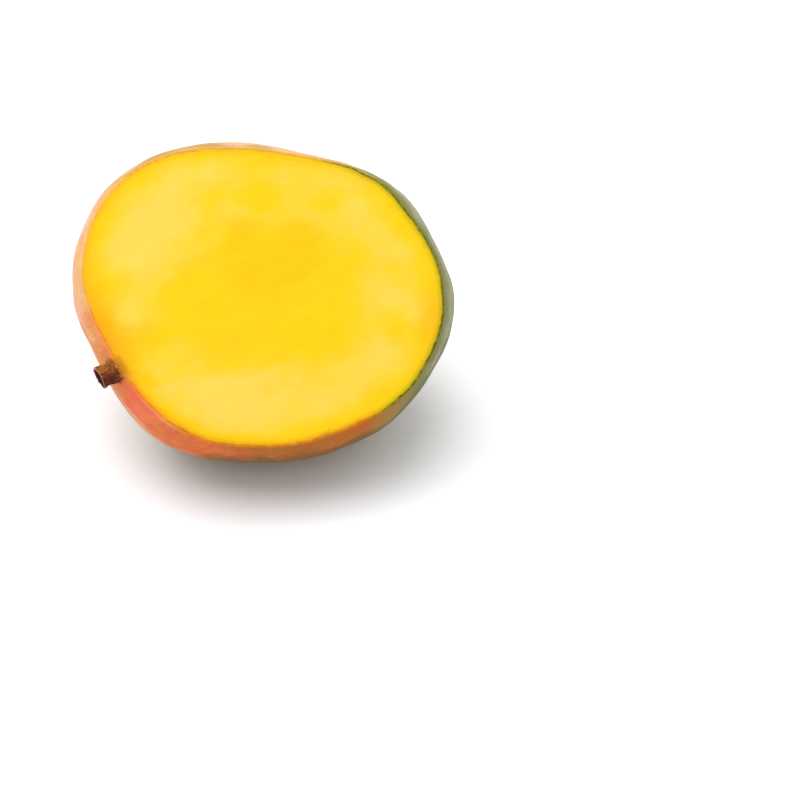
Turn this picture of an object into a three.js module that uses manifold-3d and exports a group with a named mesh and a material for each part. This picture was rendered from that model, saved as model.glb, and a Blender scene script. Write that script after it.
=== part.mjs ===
// A ripe mango with one cheek sliced off, resting on its skin with the flat cut face turned up towards the front.
// Two pieces: the fruit itself, which grew as one body of flesh and skin, and the short woody stub of its stem.
// Millimetres, +Z up, origin at the middle of the bounding box's base. The cut face looks towards -Y and up.
import * as THREE from 'three';
import { mergeVertices } from 'three/addons/utils/BufferGeometryUtils.js';
import Module from 'manifold-3d';

// ---- Driving dimensions (mm, degrees) ------------------------------------------------------------------------------
const CUT_TILT = 44;          // how far the cut face leans forward from lying level
const CUT_OFFSET = 14.5;      // cut plane in front of the fruit's widest section
const BACK_DEPTH = 47;        // from the widest section to the crown of the cheek that is still whole
const BACK_SHIFT = [-1, -4];  // the crown lies this far from the middle of the outline, towards the stem end
const OUTLINE_FADE = 0.45;    // how soon the outline's bumps die away towards the crown
const REST_DEPTH = 2.0;       // depth of the small flat that the soft fruit sits on

// Outlines in the cut's own plane: mean radius, then the [cosine, sine] amplitude of each wave around the outline.
// Angles run counter-clockwise from +X as seen from the front.
const WIDEST_OUTLINE = [51.98, [-0.73, 0.13], [4.0, -1.8], [1.18, 1.04], [-0.46, -0.28], [-0.06, 0.21],
  [0.12, -0.37], [-0.09, -0.19], [0.26, -0.11], [0.06, -0.07], [0.12, -0.08]];
const CUT_OUTLINE = [48.15, [-0.04, 0.77], [3.76, -2.39], [1.08, 1.15], [-0.48, -0.82], [-0.12, -0.01],
  [0.1, -0.19], [0.03, -0.08], [0.25, 0.02], [0.08, 0.07], [0.07, 0.03]];

const STEM_ANGLE = 204;       // where the stem leaves the outline
const STEM_FORWARD = 11.6;    // stem axis in front of the widest section, at the skin
const STEM_LEAN = 7;          // stem leans towards the cut by this angle
const STEM_ROOT = 46.3;       // radius at which the stub is rooted
const STEM_LENGTH = 7.6;      // from its root to the rim of its broken end
const STEM_NECK_R = 2.75;
const STEM_RIM_R = 3.2;
const STEM_FOOT_R = 3.6;
const STEM_HOLLOW = 0.9;      // pith sunk below the rim
const STEM_GAP = 0.35;        // clearance all round the root in its seat

const AROUND = 72, ALONG = 36; // facets round the outline and from crown to crown

// ---- The fruit's surface -------------------------------------------------------------------------------------------
const rad = THREE.MathUtils.degToRad;

function outline(waves, angle, keep = () => 1) {
  let r = waves[0];
  for (let k = 1; k < waves.length; k++)
    r += keep(k) * (waves[k][0] * Math.cos(k * angle) + waves[k][1] * Math.sin(k * angle));
  return r;
}

// In front of the widest section the skin closes in so that it meets the cut's outline at the cut plane.
function frontRadius(angle, forward) {
  const widest = outline(WIDEST_OUTLINE, angle), cut = outline(CUT_OUTLINE, angle);
  const closing = 1 - (cut / widest) ** 2;
  return widest * Math.sqrt(Math.max(0, 1 - closing * (forward / CUT_OFFSET) ** 2));
}

// Behind it the skin runs round the whole cheek, and the bumps of the outline fade out towards the crown.
function backRadius(angle, share) {
  const rest = 1 - share * share;
  return outline(WIDEST_OUTLINE, angle, (k) => rest ** (OUTLINE_FADE * Math.max(k - 2, 0))) * Math.sqrt(Math.max(0, rest));
}

// Shapes a unit sphere, poles on the cut's normal, into the fruit before it was cut. The front cap is only stock to cut away.
function wholeFruit() {
  const g = new THREE.SphereGeometry(1, AROUND, ALONG).rotateX(Math.PI / 2);
  const p = g.getAttribute('position');
  const stockTop = CUT_OFFSET + 2.5, capAt = 0.6;
  for (let i = 0; i < p.count; i++) {
    const s = THREE.MathUtils.clamp(p.getZ(i), -1, 1), angle = Math.atan2(p.getY(i), p.getX(i));
    let r, z, dx = 0, dy = 0;
    if (s < 0) {
      z = BACK_DEPTH * s;
      r = s < -0.99999 ? 0 : backRadius(angle, -s);
      dx = BACK_SHIFT[0] * s * s;
      dy = BACK_SHIFT[1] * s * s;
    } else if (s <= capAt) {
      z = stockTop * s / capAt;
      r = frontRadius(angle, z);
    } else {
      z = stockTop + 2 * (s - capAt);
      r = s > 0.99999 ? 0 : frontRadius(angle, stockTop) * Math.sqrt(1 - s * s) / Math.sqrt(1 - capAt * capAt);
    }
    p.setXYZ(i, r * Math.cos(angle) + dx, r * Math.sin(angle) + dy, z);
  }
  return g;
}

// ---- Solids --------------------------------------------------------------------------------------------------------
const wasm = await Module();
wasm.setup();

function solid(geometry) {
  const g = geometry.clone();
  g.deleteAttribute('normal');
  g.deleteAttribute('uv');
  const m = mergeVertices(g, 1e-4);
  return new wasm.Manifold(new wasm.Mesh({
    numProp: 3,
    vertProperties: new Float32Array(m.getAttribute('position').array),
    triVerts: new Uint32Array(m.index.array),
  }));
}

function geometryOf(manifold) {
  const m = manifold.getMesh(), position = new Float32Array(m.numVert * 3);
  for (let i = 0; i < m.numVert; i++) position.set(m.vertProperties.subarray(i * m.numProp, i * m.numProp + 3), i * 3);
  const g = new THREE.BufferGeometry();
  g.setAttribute('position', new THREE.BufferAttribute(position, 3));
  g.setIndex(new THREE.BufferAttribute(new Uint32Array(m.triVerts), 1));
  g.computeVertexNormals();
  return g;
}

// Stem axis: out of the outline at its angle, leaning a little towards the cut. Its frame has +Y along the stem.
const stemOut = new THREE.Vector3(
  Math.cos(rad(STEM_ANGLE)) * Math.cos(rad(STEM_LEAN)),
  Math.sin(rad(STEM_ANGLE)) * Math.cos(rad(STEM_LEAN)),
  Math.sin(rad(STEM_LEAN)),
);
const stemRoot = new THREE.Vector3(
  STEM_ROOT * Math.cos(rad(STEM_ANGLE)), STEM_ROOT * Math.sin(rad(STEM_ANGLE)), STEM_FORWARD,
);
const stemTurn = new THREE.Quaternion().setFromUnitVectors(new THREE.Vector3(0, 1, 0), stemOut);
const stemFrame = new THREE.Matrix4().compose(stemRoot, stemTurn, new THREE.Vector3(1, 1, 1));

const stock = wholeFruit();

// Height of each point once the fruit is tilted to its resting pose, which gives the lowest point and so the flat.
const tilt = rad(CUT_TILT);
let lowest = Infinity;
const at = stock.getAttribute('position');
for (let i = 0; i < at.count; i++)
  lowest = Math.min(lowest, at.getY(i) * Math.sin(tilt) + at.getZ(i) * Math.cos(tilt));
const floor = lowest + REST_DEPTH;

const cheek = new THREE.BoxGeometry(200, 200, 40).translate(0, 0, CUT_OFFSET + 20);
const below = new THREE.BoxGeometry(200, 200, 40).translate(0, 0, floor - 20).rotateX(-tilt);
const seatDepth = 10;
const seat = new THREE.CylinderGeometry(STEM_FOOT_R + STEM_GAP, STEM_FOOT_R + STEM_GAP, seatDepth, 28)
  .translate(0, seatDepth / 2 - STEM_GAP, 0).applyMatrix4(stemFrame);

const fruitSolid = solid(stock).subtract(solid(cheek)).subtract(solid(below)).subtract(solid(seat));

// Stub of the stem: a flared foot, a neck, a thicker broken end and the sunken pith, turned about its axis.
const stemProfile = [
  [0, 0], [STEM_FOOT_R - 0.4, 0], [STEM_FOOT_R, 0.5], [STEM_FOOT_R - 0.1, 1.6], [STEM_NECK_R + 0.35, 2.9],
  [STEM_NECK_R, 4.3], [STEM_NECK_R + 0.1, 5.6], [STEM_RIM_R - 0.05, 6.7], [STEM_RIM_R, STEM_LENGTH - 0.35],
  [STEM_RIM_R - 0.3, STEM_LENGTH], [STEM_RIM_R - 0.75, STEM_LENGTH - 0.1], [STEM_RIM_R - 1.1, STEM_LENGTH - STEM_HOLLOW],
  [0, STEM_LENGTH - STEM_HOLLOW - 0.15],
].map(([r, y]) => new THREE.Vector2(r, y));

// ---- The scene graph -----------------------------------------------------------------------------------------------
const fruit = new THREE.Mesh(
  geometryOf(fruitSolid),
  new THREE.MeshStandardMaterial({ color: 0xf2b63a, roughness: 0.45, metalness: 0 }),
);
fruit.name = 'fruit';

const stem = new THREE.Mesh(
  new THREE.LatheGeometry(stemProfile, 28),
  new THREE.MeshStandardMaterial({ color: 0x6b3f22, roughness: 0.85, metalness: 0 }),
);
stem.name = 'stem_stub';
stem.position.copy(stemRoot);
stem.quaternion.copy(stemTurn);

const tilted = new THREE.Group();
tilted.rotation.x = tilt;
tilted.add(fruit, stem);

const mango = new THREE.Group();
mango.add(tilted);
mango.updateMatrixWorld(true);
const box = new THREE.Box3().setFromObject(mango, true);
tilted.position.set(-(box.min.x + box.max.x) / 2, -(box.min.y + box.max.y) / 2, -floor);

export default mango;
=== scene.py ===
import math

import bpy
import numpy as np
from mathutils import Matrix, Vector


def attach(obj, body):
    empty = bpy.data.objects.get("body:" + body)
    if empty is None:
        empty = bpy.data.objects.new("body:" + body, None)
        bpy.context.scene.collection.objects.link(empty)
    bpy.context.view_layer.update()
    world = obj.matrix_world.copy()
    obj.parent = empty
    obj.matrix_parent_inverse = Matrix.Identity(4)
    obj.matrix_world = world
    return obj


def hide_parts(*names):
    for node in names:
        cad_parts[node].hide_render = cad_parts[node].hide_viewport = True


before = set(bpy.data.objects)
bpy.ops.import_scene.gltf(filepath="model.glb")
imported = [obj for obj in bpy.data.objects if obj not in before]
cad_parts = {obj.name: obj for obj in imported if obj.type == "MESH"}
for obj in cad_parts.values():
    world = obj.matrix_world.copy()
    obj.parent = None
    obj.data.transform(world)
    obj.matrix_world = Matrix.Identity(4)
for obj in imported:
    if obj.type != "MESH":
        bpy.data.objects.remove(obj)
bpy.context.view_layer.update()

# A ripe mango with one cheek sliced off. It leans back on its skin, so that the cut face looks up to the front, and a
# short woody stub of its stem is left at one end. Lengths are in millimetres until a mesh is made, and the fruit's own
# axes are u along the cut to the right, v up the cut, and w out of the cut.
MM = 0.001
TILT = math.radians(44)
MIDDLE = np.array([-0.1157, -2.1693, 47.0743])  # the fruit's own origin, in the row frame
CUT = 14.5
BACK = 47.0
SHIFT = (-1.0, -4.0)
FADE = 0.45
WIDEST_OUTLINE = [51.98, (-0.73, 0.13), (4.0, -1.8), (1.18, 1.04), (-0.46, -0.28), (-0.06, 0.21),
                  (0.12, -0.37), (-0.09, -0.19), (0.26, -0.11), (0.06, -0.07), (0.12, -0.08)]
CUT_OUTLINE = [48.15, (-0.04, 0.77), (3.76, -2.39), (1.08, 1.15), (-0.48, -0.82), (-0.12, -0.01),
               (0.1, -0.19), (0.03, -0.08), (0.25, 0.02), (0.08, 0.07), (0.07, 0.03)]
STEM_ANGLE, STEM_FORWARD, STEM_LEAN = math.radians(204), 11.6, math.radians(7)
STEM_ROOT = 46.3

TURN = np.array([[1, 0, 0],
                 [0, math.cos(TILT), -math.sin(TILT)],
                 [0, math.sin(TILT), math.cos(TILT)]])  # the fruit's own axes to the row frame


# ---------------------------------------------------------------------------------------------------------------------
# Shape of the fruit
# ---------------------------------------------------------------------------------------------------------------------
def smooth(a, b, x):
    t = np.clip((x - a) / (b - a), 0, 1)
    return t * t * (3 - 2 * t)


def ripple(seed, wavelength, count=48):
    """A smooth random field of points in millimetres, of about unit spread, with waves around this length."""
    rng = np.random.RandomState(seed)
    way = rng.normal(size=(count, 3))
    way /= np.linalg.norm(way, axis=1)[:, None]
    k = way * (2 * math.pi / (wavelength * rng.uniform(0.7, 1.6, size=(count, 1))))
    phase = rng.uniform(0, 2 * math.pi, size=count)
    size = math.sqrt(2.0 / count)

    def field(p):
        out = np.zeros(len(p))
        for i in range(count):
            out += np.sin(p @ k[i] + phase[i])
        return out * size

    return field


def outline(waves, angle, keep=None):
    r = np.full_like(angle, waves[0])
    for k in range(1, len(waves)):
        part = waves[k][0] * np.cos(k * angle) + waves[k][1] * np.sin(k * angle)
        r = r + (part if keep is None else part * keep(k))
    return r


def front_radius(angle, w):
    widest, cut = outline(WIDEST_OUTLINE, angle), outline(CUT_OUTLINE, angle)
    return widest * np.sqrt(np.maximum(0, 1 - (1 - (cut / widest) ** 2) * (w / CUT) ** 2))


def back_radius(angle, share):
    rest = max(0.0, 1 - share * share)
    return outline(WIDEST_OUTLINE, angle, lambda k: rest ** (FADE * max(k - 2, 0))) * math.sqrt(rest)


STEM_OUT = np.array([math.cos(STEM_ANGLE) * math.cos(STEM_LEAN), math.sin(STEM_ANGLE) * math.cos(STEM_LEAN),
                     math.sin(STEM_LEAN)])
STEM_BASE = np.array([STEM_ROOT * math.cos(STEM_ANGLE), STEM_ROOT * math.sin(STEM_ANGLE), STEM_FORWARD])

swell_long, swell_mid, swell_small = ripple(3, 34), ripple(5, 15), ripple(8, 6)


def from_stem(p):
    """Distance of points from the stem's axis, for those on the stem's side."""
    d = p - STEM_BASE
    along = d @ STEM_OUT
    far = np.linalg.norm(d - np.outer(along, STEM_OUT), axis=1)
    return far + np.maximum(0, -along - 6)


def unevenness(p):
    """How far the skin stands off its smooth form: swellings, small dents, the shoulder by the stem, the far end's point."""
    d = from_stem(p)
    near_cut = smooth(3, 13, p[:, 2])
    collar = 1.35 * np.exp(-(d / 4.6) ** 2) * near_cut - 0.9 * np.exp(-(d / 6.0) ** 2) * (1 - near_cut)
    swing = np.degrees(np.arctan2(p[:, 1], p[:, 0]))
    beak = 0.75 * np.exp(-((swing - 1) / 8) ** 2 - ((p[:, 2] + 1) / 9) ** 2)  # the blunt point of the far end
    band = smooth(-26, -6, p[:, 2]) * smooth(13, 5, p[:, 2])
    crest = band * (0.6 * np.exp(-((swing - 90) / 24) ** 2) - 0.5 * np.exp(-((swing + 92) / 24) ** 2))  # full on top, less below
    return (0.12 + 0.12 * swell_long(p) + 0.07 * swell_mid(p) + 0.03 * swell_small(p)
            + collar + 0.25 * np.exp(-((d - 10) / 3.5) ** 2) + beak + crest)


def skin_point(angle, w=None, share=None):
    """Points of the skin at these angles, in front of the widest section (w) or behind it (share of the way back)."""
    if share is None:
        r, x0, y0, z = front_radius(angle, w), 0.0, 0.0, w
    else:
        r, x0, y0, z = back_radius(angle, share), SHIFT[0] * share ** 2, SHIFT[1] * share ** 2, -BACK * share
    return np.stack([r * np.cos(angle) + x0, r * np.sin(angle) + y0, np.full_like(angle, z)], 1)


def out_of(p):
    """Rough outward direction of the skin."""
    n = p / np.array([57.0 ** 2, 50.0 ** 2, 47.0 ** 2])
    return n / np.linalg.norm(n, axis=1)[:, None]


lip_share = ripple(12, 16)


def skin(angle, w=None, share=None):
    p = skin_point(angle, w, share)
    bump = unevenness(p)
    n = out_of(p)
    if share is None:  # in front the skin keeps its distance from the cut plane, and the peel stands out a little at the cut
        n = n.copy()
        n[:, 2] *= 1 - smooth(0, CUT, np.full(len(p), float(w)))
        n /= np.linalg.norm(n, axis=1)[:, None]
        side = np.degrees(angle)
        lip = (0.35 + 0.65 * np.exp(-((side - 203) / 34) ** 2)) * (0.6 + 0.4 * np.clip(lip_share(p), -1, 1))
        bump = bump + 0.26 * lip * math.exp(-((CUT - 0.75 - w) / 0.55) ** 2)
    return p + n * bump[:, None]


sag, chatter, scrape = ripple(21, 40), ripple(22, 9), ripple(23, 3.2)


def cut_height(p):
    """The knife's cut isn't quite flat: it dips a little, and the strip below the stem leans forward by a degree or so."""
    low = -(p[:, 1] + 19 - 0.10 * p[:, 0])  # distance below a line that runs right from the stem
    lean = -0.024 * np.log1p(np.exp(np.clip(low / 2.0, -30, 30))) * 2.0
    return 0.10 * sag(p) + 0.035 * chatter(p) + 0.010 * scrape(p) + lean


nick_a, nick_b = ripple(25, 2.6), ripple(26, 6.0)


def rim_nicks(p):
    """Small notches that the knife leaves along the cut edge of the peel."""
    return 0.05 * nick_a(p) + 0.06 * nick_b(p)


RIM = 0.55  # the rim is rounded over this width
FULL = 512  # points round a full ring


def fruit_mesh():
    """Closed rings from the middle of the cut, over its rim and round the back to the crown, joined into one skin."""
    verts, rows, dist, turn, kind = [], [], [], [], []

    def count(radius):
        n = FULL
        while n > 32 and radius < 26 * n / FULL:
            n //= 2
        return n

    def angles(n):
        return np.arange(n) * (2 * math.pi / n)

    def add(points, d, a, k):
        rows.append((sum(map(len, verts)), len(points)))
        verts.append(points)
        dist.append(d)
        turn.append(a)
        kind.append(k)

    def flat(r, a):
        p = np.stack([r * np.cos(a), r * np.sin(a), np.full_like(a, CUT)], 1)
        p[:, 2] += cut_height(p)
        return p

    # the cut face
    inside = [5.0, 4.35, 3.75, 3.2, 2.7, 2.25, 1.85, 1.5, 1.2, 0.95, 0.72, 0.52, 0.35, 0.2, 0.09, 0.0]
    steps = 66
    add(flat(np.zeros(1), np.zeros(1)), np.array([48.0]), np.zeros(1), "flesh")
    for i in range(1, steps):
        a = angles(count(42.0 * i / steps))
        r = np.linalg.norm(skin(a, w=CUT)[:, :2], axis=1)
        at = (r - RIM - inside[0]) * i / steps
        add(flat(at, a), r - at, a, "flesh")
    a = angles(FULL)
    edge = skin(a, w=CUT)
    nick = rim_nicks(edge)
    r = np.linalg.norm(edge[:, :2], axis=1)
    for d in inside:
        add(flat(r - RIM - d + nick * (1 - d / inside[0]) ** 2, a), np.full(FULL, RIM + d), a, "flesh")
    # the rounded rim
    start, corner, low = flat(r - RIM + nick, a), flat(r + 0.6 * nick, a), skin(a, w=CUT - 0.5)
    for t in (0.17, 0.34, 0.5, 0.66, 0.83, 1.0):
        p = start * (1 - t) ** 2 + corner * 2 * t * (1 - t) + low * t * t
        add(p, np.full(FULL, RIM * (1 - t)), a, "rim")
    # the skin, to the widest section and on to the crown of the hidden side
    for w in CUT - 0.5 - np.array([0.25, 0.5, 0.8, 1.15, 1.55, 2.0]):
        add(skin(a, w=float(w)), np.full(FULL, w - CUT), a, "skin")
    for w in np.linspace(CUT - 2.5, 0, 20)[1:]:
        add(skin(a, w=float(w)), np.full(FULL, w - CUT), a, "skin")
    for i in range(1, 122):
        x = i / 122 * math.pi / 2
        a = angles(count(50 * math.cos(x)))
        add(skin(a, share=math.sin(x)), np.full(len(a), -CUT - 74 * i / 122), a, "skin")
    crown = skin_point(np.zeros(1), share=1.0)
    add(crown + out_of(crown) * unevenness(crown)[:, None], np.array([-CUT - 74.0]), np.zeros(1), "skin")

    faces, slot = [], []
    first_skin = max(i for i, k in enumerate(kind) if k == "flesh") + 4  # the outer half of the rim belongs to the skin
    for i in range(len(rows) - 1):
        (s, n), (t, m) = rows[i], rows[i + 1]
        before = len(faces)
        for j in range(min(n, m) if min(n, m) > 1 else max(n, m)):
            if n == 1:
                faces.append((s, t + j, t + (j + 1) % m))
            elif m == 1:
                faces.append((s + j, t, s + (j + 1) % n))
            elif n == m:
                q = (j + 1) % n
                faces.append((s + j, t + j, t + q, s + q))
            elif m == 2 * n:
                q = (j + 1) % n
                f, g, h = t + 2 * j, t + 2 * j + 1, t + (2 * j + 2) % m
                faces += [(s + j, f, g), (s + j, g, s + q), (s + q, g, h)]
            else:
                q = (j + 1) % m
                f, g, h = s + 2 * j, s + 2 * j + 1, s + (2 * j + 2) % n
                faces += [(f, t + j, g), (g, t + j, t + q), (g, t + q, h)]
        slot += [0 if i + 1 < first_skin else 1] * (len(faces) - before)
    # how far each ring is from the crown, along the skin
    ring_r = [np.linalg.norm(p[:, :2] - p[:, :2].mean(0), axis=1).mean() for p in verts]
    ring_z = [p[:, 2].mean() for p in verts]
    gone = np.concatenate([[0], np.cumsum(np.hypot(np.diff(ring_r), np.diff(ring_z)))])
    reach = np.repeat(gone[-1] - gone, [len(p) for p in verts])
    return np.concatenate(verts), faces, np.array(slot), np.concatenate(dist), np.concatenate(turn), reach


def to_row(p):
    return p @ TURN.T + MIDDLE


def to_fruit(p):
    return (p - MIDDLE) @ TURN


points, faces, slots, rim_distance, turn_angle, crown_reach = fruit_mesh()

# The soft fruit flattens where it lies: what would reach below the surface is pressed up to it, with a soft edge.
world = to_row(points)
soft = 0.9
z = world[:, 2]
world[:, 2] = np.where(z > soft, z, np.where(z < -soft, 0.0, (z + soft) ** 2 / (4 * soft)))
points = to_fruit(world)


def new_piece(name, own_mm, row_mm, polygons, material_index=None):
    """A piece in the row frame, which keeps its own coordinates as the field \"own\"."""
    me = bpy.data.meshes.new(name)
    me.from_pydata((row_mm * MM).tolist(), [], polygons)
    me.validate()
    me.update()
    me.polygons.foreach_set("use_smooth", np.ones(len(me.polygons), bool))
    if material_index is not None:
        me.polygons.foreach_set("material_index", material_index.astype(np.int32))
    own = me.attributes.new("own", "FLOAT_VECTOR", "POINT")
    own.data.foreach_set("vector", np.asarray(own_mm, np.float32).ravel())
    ob = bpy.data.objects.new(name, me)
    bpy.context.scene.collection.objects.link(ob)
    return ob


def attribute(ob, name, values):
    made = ob.data.attributes.new(name, "FLOAT", "POINT")
    made.data.foreach_set("value", np.asarray(values, np.float32))


fruit = new_piece("mango_fruit", points, world, faces, slots)

# The surface laid out flat: the skin as a disc about its crown, and the cut face as a disc beside it.
corner_at = np.zeros(len(fruit.data.loops), np.int32)
fruit.data.loops.foreach_get("vertex_index", corner_at)
corners = np.zeros(len(fruit.data.polygons), np.int32)
fruit.data.polygons.foreach_get("loop_total", corners)
is_skin = np.repeat(slots == 1, corners)
rho = 0.343 * crown_reach[corner_at] / crown_reach[corner_at][is_skin].max()
on_skin = np.stack([0.351 + rho * np.cos(turn_angle[corner_at]), 0.351 - rho * np.sin(turn_angle[corner_at])], 1)
on_cut = 0.763 + 0.2286 / 56.5 * points[corner_at][:, :2]
flat_map = fruit.data.uv_layers.new(name="OFBake")
flat_map.data.foreach_set("uv", np.where(is_skin[:, None], on_skin, on_cut).astype(np.float32).ravel())

# Broad fields that the finishes read. Those of the skin: how green, how blushed and how rusty it is, and how yellow.
lobe_a, lobe_b, lobe_c = ripple(31, 42), ripple(32, 22), ripple(33, 12)
way = points + np.array([0, 0, 10.0])
way = way / np.linalg.norm(way, axis=1)[:, None]


def toward(x, y, z):
    d = np.array([x, y, z])
    return way @ (d / np.linalg.norm(d))


mottle = 0.55 * lobe_a(points) + 0.3 * lobe_b(points) + 0.15 * lobe_c(points)
out_w = points[:, 2]
side = np.degrees(np.arctan2(points[:, 1], points[:, 0])) % 360


def arc(middle, half):
    """One at this angle round the outline, fading over the half width to both sides."""
    return np.exp(-(((side + 5 * lobe_c(points) - middle + 180) % 360 - 180) / half) ** 2)


front = smooth(-24, 0, out_w + 3 * lobe_b(points))
high = world[:, 2]
blush = np.maximum(
    arc(217, 13) * smooth(-10, 5, out_w + 4 * lobe_c(points)),
    smooth(0.30, 1.0, toward(-0.62, 0.42, -0.66) + 0.12 * mottle) * smooth(8, 34, high + 3 * lobe_b(points)))
attribute(fruit, "blush", blush)
attribute(fruit, "ember", np.clip(arc(234, 19), 0, 1) * front * smooth(-14, 9, out_w + 2 * lobe_c(points)))
attribute(fruit, "apricot", arc(195, 13) * front)
# Painted reflection: a paler peach strip toward the outline below the stem, where the skin catches the bright
# surroundings
attribute(fruit, "strip", arc(220, 15) * smooth(8.6, 4.0, out_w + 1.0 * lobe_c(points)) * smooth(-9, 2, out_w + 2 * lobe_c(points)))
attribute(fruit, "green", np.maximum(smooth(0.18, 0.84, toward(0.96, 0.14, -0.2) - 0.10 * mottle), 0.8 * arc(42, 16) * front))
attribute(fruit, "rust", smooth(0.30, 0.82, toward(0.32, -0.92, 0.12) - 0.10 * mottle) * front)
attribute(fruit, "yellow", smooth(-0.15, 0.75, toward(0.25, 0.85, -0.35) + 0.15 * mottle))
# Painted shade: darker where the skin turns down to the surface below the cut; also a muted olive on the hidden
# underside
attribute(fruit, "under", np.maximum(
    smooth(10.8, 3.0, out_w + 1.2 * lobe_c(points)) * smooth(-0.05, 0.70, toward(0.25, -0.95, -0.2)),
    smooth(30, 6, high + 3 * lobe_b(points))))
attribute(fruit, "cream", arc(163, 24) * smooth(6, 13.5, out_w + 1.5 * lobe_c(points)))
attribute(fruit, "tan", arc(114, 32) * smooth(4, 11, out_w + 1.5 * lobe_c(points)))
# Painted reflection: paler toward the outline along the top, at the stem end and below it, where the waxy skin catches
# the bright surroundings at a glancing angle
attribute(fruit, "pale_top_reflection", arc(78, 24) * smooth(16, 10, out_w + 1.0 * lobe_c(points)) * smooth(-9, 5, out_w + 2 * lobe_c(points)))
attribute(fruit, "pale_edge_reflection", np.clip(arc(146, 24) + 0.7 * arc(100, 34) + 0.25 * arc(224, 16), 0, 1)
          * smooth(14, 6, out_w + 1.5 * lobe_c(points)) * smooth(-9, 5, out_w + 2 * lobe_c(points)))
attribute(fruit, "pink", arc(176, 20) * smooth(10.5, 3.5, out_w + 1.2 * lobe_c(points)) * smooth(-11, 2, out_w + 2 * lobe_c(points)))
# Painted reflection: paler grey toward the outline at the far end
attribute(fruit, "grey", np.clip(arc(18, 24) + 0.6 * arc(345, 13), 0, 1)
          * smooth(15.5, 8.5, out_w + 1.0 * lobe_c(points)) * smooth(-8, 4, out_w))
attribute(fruit, "front", front)
attribute(fruit, "seam", np.clip(arc(195, 9) + arc(214, 8), 0, 1))
attribute(fruit, "stem_side", arc(208, 24))
attribute(fruit, "rim", rim_distance)
attribute(fruit, "stem", from_stem(points))

# The grain of the fruit runs from the stem to the other end, and bulges with the outline between them.
far_end = np.array([56.0, 6.0, -3.0])
grain_axis = far_end - STEM_BASE
grain_half = np.linalg.norm(grain_axis) / 2
grain_axis = grain_axis / np.linalg.norm(grain_axis)
from_mid = points - (far_end + STEM_BASE) / 2
along_grain = from_mid @ grain_axis
across = from_mid - np.outer(along_grain, grain_axis)
across = across / np.sqrt(np.maximum(0.06, 1 - (along_grain / (1.12 * grain_half)) ** 2))[:, None]
flow = fruit.data.attributes.new("flow", "FLOAT_VECTOR", "POINT")
flow.data.foreach_set("vector", (across + np.outer(along_grain * 0.09, grain_axis)).astype(np.float32).ravel())

# Those of the flesh: where it is paler, where deeper, and where it turns orange towards the skin
u, v = points[:, 0], points[:, 1]
patch = 0.6 * lobe_b(points) + 0.4 * lobe_c(points)


def blob(x, y, sx, sy):
    return np.exp(-(((u - x) / sx) ** 2 + ((v - y) / sy) ** 2))


ring_pale = smooth(3, 10, rim_distance) * (1 - smooth(15, 32, rim_distance + 3 * patch))
# Painted reflection: the band low on the cut and the pale patch at its upper left stand for the soft reflection of the
# lights on the moist flesh; the rest of pale and deep is the flesh's own tone
low_reflection_band = smooth(-1.5, 5.0, -(v + 19.5 - 0.10 * u + 1.2 * patch)) * smooth(0.8, 5.5, rim_distance) * (1 - 0.75 * smooth(-12, 28, u))
pale = (0.34 * ring_pale * (1 + 0.4 * patch) + 0.55 * low_reflection_band + 0.50 * blob(-27, 22, 16, 14) + 0.25 * blob(-38, 10, 9, 14)
        + 0.32 * blob(28, 28, 12, 9) + 0.20 * blob(34, -2, 6, 14) + 0.22 * blob(42, 3, 6, 14)
        + 0.30 * blob(-6, 38, 22, 5) + 0.30 * blob(20, 34, 12, 5) + 0.10 * patch)
attribute(fruit, "pale", np.clip(pale, 0, 1))
deep = (0.80 * blob(4, 12, 18, 12) * (1 + 0.4 * patch) + 0.35 * blob(2, -2, 30, 18) + 0.85 * blob(-35, -10.5, 7, 6)
        + 0.30 * blob(-14, -12, 12, 5) + 0.12 * patch)
attribute(fruit, "deep", np.clip(deep - 0.5 * low_reflection_band, 0, 1))
attribute(fruit, "warm", np.clip(0.95 * np.exp(-((side - 190) / 18) ** 2) + 0.60 * np.exp(-(((side + 180) % 360 - 169) / 9) ** 2)
                                 + 0.10 * np.exp(-((side - 235) / 30) ** 2), 0, 1))
attribute(fruit, "low", low_reflection_band)


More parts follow.
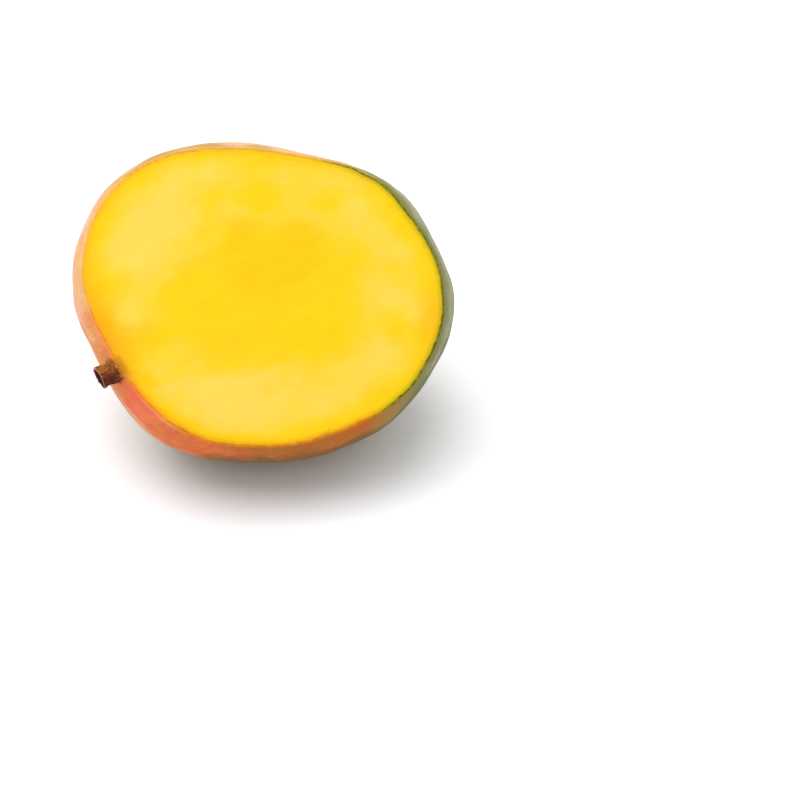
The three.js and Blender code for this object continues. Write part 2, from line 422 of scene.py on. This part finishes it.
# ---------------------------------------------------------------------------------------------------------------------
# The stem's stub
# ---------------------------------------------------------------------------------------------------------------------
def stem_mesh():
    """A short woody stub: ragged corky foot, ridged bark, and a broken end with a thin rim round sunken pith."""
    around, along = 168, 150
    ridge, lump, crust, flake = ripple(51, 1.7), ripple(52, 3.4), ripple(53, 0.7), ripple(54, 1.3)
    line = np.array([
        (0.0, 0.0), (0.0, 2.8), (0.4, 3.4), (1.0, 3.75), (1.7, 3.75), (2.4, 3.6), (3.1, 3.35), (3.8, 3.2), (4.6, 3.12),
        (5.4, 3.18), (6.1, 3.32), (6.6, 3.44), (6.95, 3.46), (7.15, 3.38), (7.24, 3.2), (7.16, 3.0), (6.9, 2.84), (6.4, 2.7),
        (6.0, 2.45), (5.75, 1.9), (5.65, 1.0), (5.6, 0.0)])
    gap = np.concatenate([[0], np.cumsum(np.linalg.norm(np.diff(line, axis=0), axis=1))])
    want = np.linspace(0, gap[-1], along)
    h = np.interp(want, gap, line[:, 0])
    r = np.interp(want, gap, line[:, 1])
    for _ in range(2):
        h[1:-1] = (h[:-2] + 2 * h[1:-1] + h[2:]) / 4
        r[1:-1] = (r[:-2] + 2 * r[1:-1] + r[2:]) / 4
    r[0] = r[-1] = 0
    a = np.arange(around) * 2 * math.pi / around
    side = np.stack([np.cos(a), np.zeros(around), np.sin(a)], 1)
    inner_from = gap[14]  # beyond the rim the profile goes down into the pith
    verts, polys = [], []
    for i in range(along):
        p = side * r[i]
        p[:, 1] = h[i]
        if not 0 < i < along - 1:
            verts.append(p[:1] * np.array([[0, 1, 0]]))
            continue
        q = side * 3.0
        q[:, 1] = 0.2 * h[i]  # the bark's ridges run along the stem
        outside = 1 - smooth(inner_from - 0.2, inner_from + 0.3, want[i])
        bark = smooth(0.2, 1.0, h[i]) * outside
        foot = smooth(0.3, 1.0, h[i]) * (1 - smooth(1.8, 3.6, h[i])) * outside
        end = smooth(5.2, 6.8, h[i])
        off = bark * (1 - 0.6 * end) * (0.10 * ridge(q) + 0.13 * lump(p) + 0.035 * crust(p) - 0.10 * np.abs(ridge(1.6 * q)))
        off = off + foot * (0.22 * np.abs(flake(0.8 * p)) + 0.14 * flake(1.3 * p) + 0.12 * lump(1.4 * p) - 0.12)
        p = p + side * off[:, None]
        broken = smooth(6.2, 7.1, h[i])
        p[:, 1] += broken * (0.07 * lump(1.3 * q) + 0.03 * flake(2 * q)) + 0.12 * foot * flake(1.3 * q)
        if want[i] > inner_from:
            sunk = smooth(inner_from, inner_from + 1.0, want[i])
            p[:, 1] += sunk * 0.10 * crust(p) * smooth(0.0, 1.0, r[i])
        verts.append(p)
    start = np.cumsum([0] + [len(x) for x in verts])
    for i in range(along - 1):
        s, t = start[i], start[i + 1]
        for j in range(around):
            q = (j + 1) % around
            if i == 0:
                polys.append((s, t + j, t + q))
            elif i == along - 2:
                polys.append((s + j, t, s + q))
            else:
                polys.append((s + j, t + j, t + q, s + q))
    way_along = np.concatenate([np.full(len(x), want[i] - inner_from) for i, x in enumerate(verts)])
    return np.concatenate(verts), polys, way_along


stem_points, stem_faces, stem_past_rim = stem_mesh()
y_axis = STEM_OUT
x_axis = np.cross(y_axis, [0, 0, 1.0])
x_axis /= np.linalg.norm(x_axis)
z_axis = np.cross(x_axis, y_axis)
stem_axes = np.stack([x_axis, y_axis, z_axis], 1)
# It broke off at a slant, a little shorter on the side of the cut.
stem_points[:, 1] -= 0.09 * (stem_points[:, 2] - 0.35 * stem_points[:, 0]) * smooth(3.2, 6.2, stem_points[:, 1])
stem_own = STEM_BASE + stem_points @ stem_axes.T
# The knife has passed beside the foot, so it stays below the cut.
level = CUT - 1.3
over = np.maximum(0, stem_own[:, 2] - level) * (1 - smooth(3.4, 5.4, stem_points[:, 1]))
stem_own[:, 2] += 0.9 * np.tanh(over / 0.9) - over
stem = new_piece("mango_stem", stem_points, to_row(stem_own), stem_faces)
attribute(stem, "along", stem_points[:, 1])
# Painted light: how far each point of the stem faces up toward the lamp, used to paint that side lighter
attribute(stem, "lit", np.clip((stem_points @ stem_axes.T) @ np.array([-0.25, 0.75, 0.6]) / 3.0, -1, 1))
attribute(stem, "past_rim", stem_past_rim)


# ---------------------------------------------------------------------------------------------------------------------
# Finishes
# ---------------------------------------------------------------------------------------------------------------------
class Tree:
    """Short words for building a node material."""

    def __init__(self, name):
        self.mat = bpy.data.materials.new(name)
        self.mat.use_nodes = True
        self.t = self.mat.node_tree
        self.t.nodes.clear()
        self.out = self.t.nodes.new("ShaderNodeOutputMaterial")
        self.p = self.t.nodes.new("ShaderNodeBsdfPrincipled")
        self.t.links.new(self.p.outputs[0], self.out.inputs[0])

    def put(self, socket, value):
        if isinstance(value, bpy.types.NodeSocket):
            self.t.links.new(value, socket)
        elif isinstance(value, tuple) and len(value) == 3 and socket.type == "RGBA":
            socket.default_value = (*value, 1)
        else:
            socket.default_value = value

    def node(self, kind, **inputs):
        n = self.t.nodes.new(kind)
        for k, value in inputs.items():
            self.put(n.inputs[k.replace("_", " ")], value)
        return n

    def set(self, **values):
        for k, value in values.items():
            self.put(self.p.inputs[k.replace("_", " ")], value)

    def attr(self, name):
        n = self.t.nodes.new("ShaderNodeAttribute")
        n.attribute_name = name
        return n.outputs["Fac"]

    def vector(self, name):
        n = self.t.nodes.new("ShaderNodeAttribute")
        n.attribute_name = name
        return n.outputs["Vector"]

    def mm(self, stretch=(1, 1, 1)):
        """The piece's own coordinates in millimetres, stretched."""
        at = self.vector("own")
        if stretch != (1, 1, 1):
            m = self.t.nodes.new("ShaderNodeVectorMath")
            m.operation = "MULTIPLY"
            self.put(m.inputs[0], at)
            m.inputs[1].default_value = stretch
            at = m.outputs[0]
        return at

    def noise(self, at, size, detail=2.0, rough=0.5, twist=0.0, colour=False):
        n = self.node("ShaderNodeTexNoise", Vector=at, Scale=1 / size, Detail=detail, Roughness=rough, Distortion=twist)
        return n.outputs["Color" if colour else "Fac"]

    def cells(self, at, size, feature="F1", random=1.0):
        n = self.t.nodes.new("ShaderNodeTexVoronoi")
        n.feature = feature
        self.put(n.inputs["Vector"], at)
        n.inputs["Scale"].default_value = 1 / size
        n.inputs["Randomness"].default_value = random
        return n

    def math(self, kind, a, b=None, c=None, clamp=False):
        n = self.t.nodes.new("ShaderNodeMath")
        n.operation = kind
        n.use_clamp = clamp
        for i, value in enumerate((a, b, c)):
            if value is not None:
                self.put(n.inputs[i], value)
        return n.outputs[0]

    def add(self, a, b):
        return self.math("ADD", a, b)

    def sub(self, a, b):
        return self.math("SUBTRACT", a, b)

    def mul(self, a, b):
        return self.math("MULTIPLY", a, b)

    def step(self, x, a, b, low=0.0, high=1.0):
        n = self.t.nodes.new("ShaderNodeMapRange")
        n.interpolation_type = "SMOOTHSTEP"
        for i, value in enumerate((x, a, b, low, high)):
            self.put(n.inputs[i], value)
        return n.outputs[0]

    def mix(self, share, a, b, how="MIX"):
        n = self.t.nodes.new("ShaderNodeMix")
        n.data_type = "RGBA"
        n.blend_type = how
        n.clamp_factor = True
        self.put(n.inputs[0], share)
        self.put(n.inputs[6], a)
        self.put(n.inputs[7], b)
        return n.outputs[2]

    def bump(self, height, strength=1.0, normal=None):
        """height in millimetres."""
        n = self.t.nodes.new("ShaderNodeBump")
        n.inputs["Strength"].default_value = strength
        n.inputs["Distance"].default_value = MM
        self.put(n.inputs["Height"], height)
        if normal is not None:
            self.put(n.inputs["Normal"], normal)
        return n.outputs[0]


def rgb(r, g, b):
    """An sRGB colour of 0 to 255 as linear light."""
    return tuple((c / 255 / 12.92) if c / 255 <= 0.04045 else ((c / 255 + 0.055) / 1.055) ** 2.4 for c in (r, g, b))


def skin_finish():
    t = Tree("mango_skin")
    at, flow = t.mm(), t.vector("flow")
    blush, green, rust, yellow = t.attr("blush"), t.attr("green"), t.attr("rust"), t.attr("yellow")
    stem_near, rim = t.attr("stem"), t.attr("rim")
    broad = t.noise(at, 9, 5, 0.62, 0.4)
    streak = t.noise(flow, 3.6, 4, 0.6, 0.5)
    mid = t.noise(at, 3.2, 4, 0.6)
    fine = t.noise(at, 0.9, 3, 0.6)
    dust = t.noise(at, 0.35, 2, 0.6)
    drift = t.add(t.mul(t.sub(broad, 0.5), 0.5), t.mul(t.sub(streak, 0.5), 0.5))  # what breaks up every border
    drift = t.add(drift, t.mul(t.sub(fine, 0.5), 0.35))

    # Ripe ground colour: peach with softer and deeper streaks, clearer yellow on the upper side
    peach = t.add(t.mul(t.sub(streak, 0.5), 1.3), t.add(broad, t.mul(t.sub(mid, 0.5), 0.3)))
    ground = t.mix(t.step(peach, 0.34, 0.70), rgb(224, 170, 122), rgb(216, 136, 74))
    ground = t.mix(t.mul(t.step(t.noise(flow, 2.2, 3, 0.55, 0.7), 0.54, 0.70), 0.55), ground, rgb(210, 150, 70))
    ground = t.mix(t.mul(t.step(t.add(yellow, drift), 0.05, 0.95), 0.85), ground, rgb(200, 153, 68))
    # Beside the cut it is creamy at the stem end and tan along the top, and further out toward the outline it is
    # painted paler pink and peach, a painted reflection of the bright surroundings on the waxy skin
    ground = t.mix(t.mul(t.step(t.add(t.attr("cream"), drift), 0.10, 0.95), 0.5), ground, rgb(214, 172, 108))
    ground = t.mix(t.mul(t.step(t.add(t.attr("tan"), drift), 0.10, 0.80), 0.85), ground, rgb(170, 131, 58))
    ground = t.mix(t.mul(t.step(t.add(t.attr("pale_edge_reflection"), t.mul(drift, 0.7)), 0.0, 1.05), 0.72), ground, rgb(216, 178, 152))
    ground = t.mix(t.mul(t.step(t.add(t.attr("pale_top_reflection"), t.mul(drift, 0.7)), 0.0, 1.05), 0.68), ground, rgb(212, 174, 136))
    ground = t.mix(t.mul(t.step(t.add(t.attr("pink"), t.mul(drift, 0.7)), 0.0, 1.1), 0.70), ground, rgb(226, 164, 138))
    apricot = t.step(t.add(t.attr("apricot"), drift), 0.15, 0.75)
    ground = t.mix(t.mul(apricot, 0.85), ground, t.mix(t.step(streak, 0.40, 0.62), rgb(218, 142, 76), rgb(212, 122, 52)))
    # Rusty orange underneath; where it turns down to the surface it is painted darker olive brown as shade, and the
    # hidden underside is a muted olive
    rusty = t.mix(t.step(t.add(broad, t.mul(t.sub(mid, 0.5), 0.9)), 0.36, 0.66), rgb(164, 92, 2), rgb(176, 84, 2))
    ground = t.mix(t.mul(t.step(t.add(rust, t.mul(drift, 0.8)), 0.14, 0.66), 0.96), ground, rusty)
    # Unripe end: olive, yellower where it gives way, and toward the outline painted a paler grey as a reflection of the
    # bright surroundings
    green_in = t.step(t.add(green, drift), 0.06, 0.76)
    green_full = t.step(t.add(green, t.mul(t.sub(mid, 0.5), 0.6)), 0.45, 0.95)
    olive = t.mix(green_full, rgb(140, 121, 42), rgb(97, 112, 46))
    olive = t.mix(t.mul(t.step(t.noise(at, 6.5, 4, 0.6, 0.6), 0.34, 0.70), 0.5), olive, rgb(128, 125, 64))
    ground = t.mix(t.mul(green_in, 0.96), ground, olive)
    # Painted reflection: a paler grey toward the outline at the far end
    grey_reflection = t.mix(t.step(t.noise(at, 2.6, 3, 0.6, 0.4), 0.42, 0.62), rgb(158, 160, 122), rgb(170, 163, 142))
    ground = t.mix(t.mul(t.step(t.add(t.attr("grey"), t.mul(drift, 0.9)), 0.05, 1.0), 0.82), ground, grey_reflection)
    # Painted shade in the band by the cut, where the skin turns down to the surface; muted olive colour on the hidden
    # underside
    shade = t.mix(t.step(t.add(green, t.mul(t.sub(mid, 0.5), 0.5)), 0.12, 0.60), rgb(112, 80, 34), rgb(98, 92, 46))
    shade = t.mix(t.attr("front"), t.mix(t.step(broad, 0.36, 0.66), rgb(150, 128, 56), rgb(124, 116, 56)), shade)
    ground = t.mix(t.mul(t.step(t.add(t.attr("under"), t.mul(drift, 0.6)), 0.10, 0.80), 0.86), ground, shade)
    # Orange below the stem
    ember = t.step(t.add(t.attr("ember"), t.mul(drift, 0.8)), 0.02, 0.85)
    ground = t.mix(t.mul(ember, 0.92), ground, t.mix(t.step(mid, 0.36, 0.64), rgb(212, 110, 50), rgb(206, 96, 46)))
    # Blush: coral at its edge, redder in the middle, broken up by the ground colour
    blush_in = t.step(t.add(blush, drift), 0.10, 0.78)
    blush_full = t.step(t.add(blush, t.mul(t.sub(mid, 0.5), 0.8)), 0.55, 1.15)
    red = t.mix(blush_full, rgb(224, 112, 70), rgb(218, 92, 64))
    ground = t.mix(t.mul(blush_in, 0.92), ground, red)
    # Painted reflection: the paler strip toward the outline below the stem
    ground = t.mix(t.mul(t.step(t.add(t.attr("strip"), t.mul(drift, 0.8)), 0.10, 0.90), 0.82), ground, rgb(212, 154, 112))
    back_red = t.mul(t.step(t.add(blush, drift), 0.32, 1.05), t.sub(1.0, t.attr("front")))
    ground = t.mix(t.mul(back_red, 0.8), ground, t.mix(t.step(mid, 0.35, 0.65), rgb(186, 62, 38), rgb(162, 42, 36)))
    # Fine mottling of the ground
    ground = t.mix(t.mul(t.step(fine, 0.50, 0.74), 0.09), ground, rgb(226, 164, 60))
    ground = t.mix(t.mul(t.step(fine, 0.50, 0.28), 0.07), ground, rgb(110, 54, 24))

    # Lenticels: pale corky dots of several sizes, some with a darker halo
    big = t.cells(at, 2.5)
    big_pick = t.node("ShaderNodeSeparateColor", Color=big.outputs["Color"])
    big_r = t.add(t.mul(t.step(big_pick.outputs[0], 0.2, 1.0), 0.13), 0.035)
    big_dot = t.step(t.sub(big.outputs["Distance"], big_r), 0.045, -0.03)
    halo = t.step(t.sub(big.outputs["Distance"], big_r), 0.24, 0.03)
    small = t.cells(at, 1.25)
    small_pick = t.node("ShaderNodeSeparateColor", Color=small.outputs["Color"])
    small_r = t.mul(t.step(small_pick.outputs[0], 0.35, 1.0), 0.14)
    small_dot = t.step(t.sub(small.outputs["Distance"], small_r), 0.05, -0.06)
    ground = t.mix(t.mul(halo, 0.10), ground, rgb(112, 60, 26))
    dot = t.mix(green_in, rgb(222, 172, 104), rgb(192, 190, 138))
    ground = t.mix(t.mul(small_dot, 0.24), ground, dot)
    ground = t.mix(t.mul(big_dot, 0.34), ground, dot)
    # A few dark specks
    speck = t.cells(at, 5.5)
    ground = t.mix(t.mul(t.step(speck.outputs["Distance"], 0.075, 0.035), 0.5), ground, rgb(84, 46, 20))

    # The cut edge of the peel is painted paler as the highlight along its rounded edge, coral by the stem
    lip = t.mul(t.step(rim, -1.3, -0.2), t.step(t.add(green, rust), 0.8, 0.3))
    ground = t.mix(t.mul(lip, 0.40), ground, t.mix(t.attr("seam"), rgb(222, 172, 106), rgb(238, 118, 78)))
    # Painted shade: a deeper orange ring in the dip round the stem; then corky brown stain and dried sap round the stem
    shoulder = t.step(t.add(stem_near, t.mul(t.sub(mid, 0.5), 14.0)), 10, 4)
    ground = t.mix(t.mul(shoulder, 0.55), ground, rgb(212, 112, 44))
    near = t.step(t.add(stem_near, t.add(t.mul(t.sub(fine, 0.5), 1.4), t.mul(t.sub(mid, 0.5), 3.2))), 4.6, 3.2)
    ground = t.mix(t.mul(near, 0.72), ground, t.mix(t.step(fine, 0.36, 0.66), rgb(104, 50, 12), rgb(190, 122, 48)))
    sap = t.mul(t.step(mid, 0.61, 0.66), t.step(stem_near, 9, 4.5))
    ground = t.mix(t.mul(sap, 0.55), ground, rgb(116, 56, 26))
    # A little russet: thin tan rubbing marks in a few places
    russet_at = t.noise(at, 26, 2, 0.5, 1.0)
    russet = t.mul(t.step(russet_at, 0.60, 0.70), t.step(fine, 0.50, 0.60))
    ground = t.mix(t.mul(russet, 0.35), ground, rgb(160, 112, 62))

    rough = t.add(t.add(0.30, t.mul(mid, 0.16)), t.mul(big_dot, 0.16))
    rough = t.add(rough, t.mul(t.attr("front"), 0.20))
    rough = t.add(rough, t.mul(near, 0.25))
    height = t.add(t.mul(t.noise(at, 1.5, 3, 0.55), 0.045), t.mul(dust, 0.008))
    height = t.add(height, t.mul(big_dot, 0.030))
    height = t.add(height, t.mul(small_dot, 0.012))
    height = t.add(height, t.mul(near, t.mul(fine, 0.3)))
    t.set(Base_Color=ground, Roughness=rough, Normal=t.bump(height))
    t.set(Specular_IOR_Level=0.16, Subsurface_Weight=0.05, Subsurface_Scale=0.002)
    t.p.inputs["Subsurface Radius"].default_value = (1.0, 0.45, 0.2)
    return t.mat


def flesh_finish():
    t = Tree("mango_flesh")
    at, flow = t.mm(), t.vector("flow")
    rim, pale, deep, warm = t.attr("rim"), t.attr("pale"), t.attr("deep"), t.attr("warm")
    green, blush, rust, stem_near = t.attr("green"), t.attr("blush"), t.attr("rust"), t.attr("stem")
    # Fibres lie along the fruit, from the stem end to the other
    fibre = t.noise(flow, 0.75, 4, 0.62, 0.5)
    strand = t.noise(flow, 2.6, 3, 0.55, 0.9)
    broad = t.noise(at, 11, 4, 0.6, 0.5)
    cloud = t.noise(at, 4.5, 4, 0.6, 0.3)
    grain = t.noise(at, 0.55, 3, 0.6)

    # Paler where the field pale says, which includes painted reflection low on the cut and at its upper left
    tone = t.add(pale, t.add(t.mul(t.sub(cloud, 0.5), 0.65), t.mul(t.sub(grain, 0.5), 0.12)))
    colour = t.mix(t.step(tone, 0.0, 0.95), rgb(233, 190, 4), rgb(234, 196, 78))
    dark = t.add(deep, t.add(t.mul(t.sub(broad, 0.5), 0.7), t.mul(t.sub(cloud, 0.5), 0.35)))
    colour = t.mix(t.mul(t.step(dark, 0.20, 0.95), 0.85), colour, rgb(232, 182, 0))
    # Fibres: a few paler threads among slightly deeper flesh
    colour = t.mix(t.mul(t.step(fibre, 0.56, 0.80), 0.10), colour, rgb(236, 204, 100))
    colour = t.mix(t.mul(t.step(strand, 0.46, 0.25), 0.14), colour, rgb(230, 172, 0))
    # Towards the skin the flesh is deeper, and orange at both ends of the fruit
    wobble = t.mul(t.sub(t.noise(at, 2.2, 3, 0.6), 0.5), 0.9)
    d = t.add(rim, wobble)
    # Less deepening toward the skin in the band of painted reflection low on the cut
    near_skin = t.mul(t.step(d, 5.6, 0.8), t.sub(0.55, t.mul(t.attr("low"), 0.25)))
    colour = t.mix(near_skin, colour, rgb(230, 181, 2))
    colour = t.mix(t.mul(t.step(t.add(d, t.mul(t.sub(cloud, 0.5), 8.0)), 11.0, 1.0), t.mul(warm, 0.95)), colour, rgb(232, 158, 0))
    # Just under the peel: yellow-green where the skin is green, orange where it is blushed or rusty
    under = t.mix(t.step(rust, 0.2, 0.6), rgb(222, 172, 2), rgb(206, 148, 2))
    under = t.mix(t.attr("stem_side"), under, rgb(226, 140, 6))
    under = t.mix(t.step(green, 0.22, 0.55), under, rgb(168, 160, 0))
    colour = t.mix(t.mul(t.step(t.add(rim, t.mul(wobble, 1.3)), 2.5, 0.6), 0.8), colour, under)
    # The peel's own cut edge: dark green, orange, or a pale tan
    peel = t.mix(t.step(rust, 0.25, 0.6), rgb(178, 134, 44), rgb(170, 100, 8))
    peel = t.mix(t.attr("cream"), peel, rgb(214, 158, 84))
    peel = t.mix(t.attr("stem_side"), peel, rgb(206, 104, 34))
    peel = t.mix(t.step(green, 0.2, 0.5), peel, rgb(64, 66, 2))
    ragged = t.add(0.60, t.mul(t.step(t.noise(at, 1.6, 3, 0.6), 0.35, 0.62), 0.40))
    colour = t.mix(t.mul(t.step(t.add(rim, t.mul(wobble, 0.30)), 0.95, 0.32), ragged), colour, peel)
    # Browned where the stalk's fibres enter
    brown = t.mul(t.step(t.add(stem_near, t.mul(t.sub(cloud, 0.5), 7.0)), 9.5, 3.0), t.step(d, 5.0, 1.0))
    colour = t.mix(t.mul(brown, 0.5), colour, rgb(206, 152, 8))
    stain = t.mul(t.step(t.add(stem_near, t.mul(t.sub(grain, 0.5), 2.4)), 5.4, 2.8), t.step(d, 3.2, 0.8))
    colour = t.mix(t.mul(stain, 0.62), colour, rgb(150, 88, 6))

    rough = t.add(0.30, t.mul(cloud, 0.14))
    rough = t.add(rough, t.mul(t.step(rim, 1.0, 0.3), 0.15))
    height = t.add(t.mul(fibre, 0.05), t.mul(grain, 0.022))
    height = t.add(height, t.mul(strand, 0.05))
    t.set(Base_Color=colour, Roughness=rough, Normal=t.bump(height))
    t.set(Specular_IOR_Level=0.11, Subsurface_Weight=0.35, Subsurface_Scale=0.004)
    t.p.inputs["Subsurface Radius"].default_value = (1.0, 0.5, 0.06)
    return t.mat


def wood_finish():
    t = Tree("mango_stem_bark")
    at = t.mm()
    along, past_rim = t.attr("along"), t.attr("past_rim")
    grain = t.noise(t.mm((1.0, 0.22, 1.0)), 0.5, 4, 0.65, 0.5)
    flake = t.noise(t.mm((1.0, 0.5, 1.0)), 1.1, 4, 0.65)
    crust = t.noise(at, 0.4, 3, 0.6)
    colour = t.mix(t.step(grain, 0.34, 0.70), rgb(62, 22, 4), rgb(106, 46, 10))
    # The side turned up to the lamp is painted lighter, partly as light and partly as the tan of dry flaked bark; the
    # other side stays dark, partly as shade
    lit = t.step(t.add(t.attr("lit"), t.mul(t.sub(flake, 0.5), 2.0)), 0.25, 1.10)
    colour = t.mix(t.mul(lit, 0.75), colour, t.mix(t.step(crust, 0.38, 0.62), rgb(130, 66, 16), rgb(184, 114, 48)))
    colour = t.mix(t.mul(t.step(flake, 0.44, 0.30), 0.7), colour, rgb(46, 19, 8))
    # The corky foot is a tangle of tan and dark scales
    foot = t.step(t.add(along, t.mul(t.sub(flake, 0.5), 2.5)), 3.4, 2.0)
    scales = t.mix(t.step(t.noise(at, 0.9, 3, 0.6, 0.4), 0.44, 0.66), rgb(84, 36, 6), rgb(180, 112, 40))
    colour = t.mix(t.mul(foot, 0.55), colour, scales)
    # Broken end: a thin pale rim round dark, dried pith
    worn = t.mul(t.sub(crust, 0.5), 0.3)
    lip = t.mul(t.step(t.add(past_rim, worn), -0.36, -0.12), t.step(t.add(past_rim, worn), 0.46, 0.22))
    colour = t.mix(t.mul(lip, 0.85), colour, rgb(182, 132, 116))
    pith = t.step(t.add(past_rim, worn), 0.25, 0.60)
    colour = t.mix(pith, colour, t.mix(t.step(crust, 0.35, 0.7), rgb(40, 16, 18), rgb(86, 46, 40)))
    height = t.add(t.mul(grain, 0.22), t.mul(flake, 0.16))
    height = t.add(height, t.mul(crust, 0.08))
    t.set(Base_Color=colour, Roughness=t.add(0.62, t.mul(grain, 0.25)), Normal=t.bump(height))
    t.set(Specular_IOR_Level=0.18)
    return t.mat


fruit.data.materials.append(flesh_finish())
fruit.data.materials.append(skin_finish())
stem.data.materials.append(wood_finish())

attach(fruit, "root")
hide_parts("fruit")
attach(stem, "root")
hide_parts("stem_stub")

# ---------------------------------------------------------------------------------------------------------------------
# Stage: a plain white floor, soft light from all round and a broad lamp overhead
# ---------------------------------------------------------------------------------------------------------------------
ground = bpy.data.meshes.new("floor")
half, floor_z = 12.0, -0.0001
ground.from_pydata([(-half, -half, floor_z), (half, -half, floor_z), (half, half, floor_z), (-half, half, floor_z)], [], [(0, 1, 2, 3)])
floor = bpy.data.objects.new("floor", ground)
bpy.context.scene.collection.objects.link(floor)
f = Tree("floor_paint")
f.set(Base_Color=(0.87, 0.88, 0.905), Roughness=0.7, Specular_IOR_Level=0.2)
ground.materials.append(f.mat)

scene = bpy.context.scene
scene.world = bpy.data.worlds.new("studio")
scene.world.use_nodes = True
sky = scene.world.node_tree.nodes["Background"]
sky.inputs["Color"].default_value = (1, 1, 1, 1)
nodes, links = scene.world.node_tree.nodes, scene.world.node_tree.links
look = nodes.new("ShaderNodeTexCoord")
height = nodes.new("ShaderNodeSeparateXYZ")
links.new(look.outputs["Generated"], height.inputs[0])
glow = nodes.new("ShaderNodeMapRange")
glow.inputs["From Min"].default_value, glow.inputs["From Max"].default_value = 0.0, 0.9
glow.inputs["To Min"].default_value, glow.inputs["To Max"].default_value = 0.48, 1.05
links.new(height.outputs["Z"], glow.inputs["Value"])
links.new(glow.outputs[0], sky.inputs["Strength"])


def lamp(name, at, aim, size, watts):
    data = bpy.data.lights.new(name, "AREA")
    data.shape = "RECTANGLE"
    data.size, data.size_y = size
    data.energy = watts
    ob = bpy.data.objects.new(name, data)
    scene.collection.objects.link(ob)
    ob.location = at
    ob.rotation_euler = (Vector(aim) - Vector(at)).to_track_quat("-Z", "Y").to_euler()
    return ob


lamp("overhead", (-0.30, 0.10, 1.3), (0, 0, 0.04), (1.4, 1.4), 17.0)

scene.view_settings.view_transform = "Standard"
scene.view_settings.look = "None"
scene.view_settings.exposure = 0.0
scene.view_settings.gamma = 1.0

# Camera, at the height and angle from which the fruit is seen
RISE, SWING = math.radians(41), math.radians(-4.48)
spin = np.array([[math.cos(SWING), -math.sin(SWING), 0], [math.sin(SWING), math.cos(SWING), 0], [0, 0, 1]])
right = spin @ np.array([1.0, 0, 0])
up = spin @ np.array([0, math.sin(RISE), math.cos(RISE)])
back = spin @ np.array([0, -math.cos(RISE), math.sin(RISE)])
eye = (MIDDLE + np.array([0.013, -521.42, 413.12])) * MM
lens = bpy.data.cameras.new("camera")
lens.lens, lens.sensor_width = 100.0, 36.0
lens.clip_start, lens.clip_end = 0.01, 100.0
camera = bpy.data.objects.new("camera", lens)
scene.collection.objects.link(camera)
camera.matrix_world = Matrix([[right[i], up[i], back[i], eye[i]] for i in range(3)] + [[0, 0, 0, 1]])
scene.camera = camera
